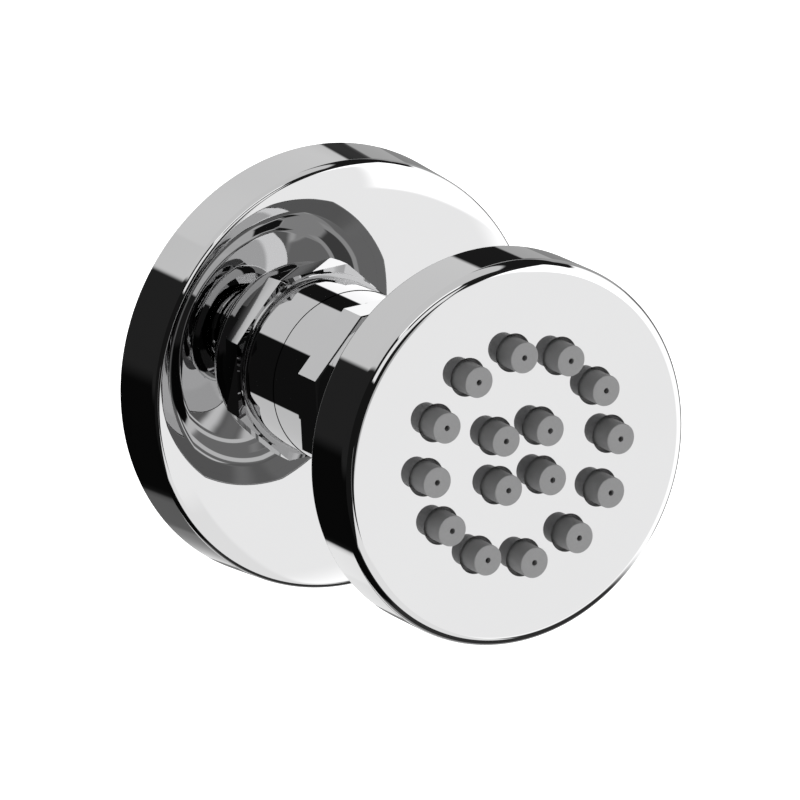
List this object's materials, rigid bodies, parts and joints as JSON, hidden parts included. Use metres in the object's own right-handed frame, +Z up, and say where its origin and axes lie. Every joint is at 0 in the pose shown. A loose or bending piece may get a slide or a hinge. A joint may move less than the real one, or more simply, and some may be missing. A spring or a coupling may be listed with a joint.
{
  "type": "shower body jet",
  "caption": "Round chrome shower body jet: domed wall flange on a short neck, octagonal swivel nut, and a flat round head on a ball joint with soft nozzles.",
  "frame": {"origin": "on the jet axis in the wall plane, at the mouth of the inlet thread", "axes": "+Z up, -Y out of the wall along the jet, +X to the right as the user faces the wall"},
  "size_m": [0.0694, 0.0633, 0.0694],
  "materials": {
    "chrome": "polished chrome plating",
    "silicone": "matt grey silicone",
    "black_rubber": "matt",
    "foam": "closed-cell foam",
    "white_plastic": "moulded",
    "steel": "plain stainless"
  },
  "bodies": {
    "neck": {"neck_body": "chrome", "inlet_washer": "black_rubber", "inlet_screen": "steel", "flow_regulator": "white_plastic", "swivel_nut": "chrome"},
    "flange": {"wall_flange": "chrome", "flange_grip_ring": "black_rubber", "wall_seal": "foam"},
    "front_ring": {"front_ball_ring": "white_plastic"},
    "rear_seal": {"rear_ball_seal": "black_rubber"},
    "head": {"ball_stem": "chrome", "stem_washer": "black_rubber", "back_cover": "chrome", "rim_seal_ring": "black_rubber", "pressure_plate": "white_plastic", "plate_screws": "steel", "nozzle_mat": "silicone", "head_shell": "chrome"}
  },
  "joints": [
    {"name": "flange_slide", "type": "slide", "parent": "neck", "child": "flange", "axis": [0, -1, 0], "range_m": [0, 0.008]},
    {"name": "ball_pan", "type": "hinge", "parent": "neck", "child": "front_ring", "pos_m": [0, -0.0293, 0], "axis": [0, 0, 1], "range_deg": [-14, 14]},
    {"name": "ball_tilt", "type": "hinge", "parent": "front_ring", "child": "rear_seal", "pos_m": [0, -0.0293, 0], "axis": [1, 0, 0], "range_deg": [-14, 14]},
    {"name": "head_spin", "type": "hinge", "parent": "rear_seal", "child": "head", "pos_m": [0, -0.0293, 0], "axis": [0, 1, 0], "continuous": true}
  ]
}
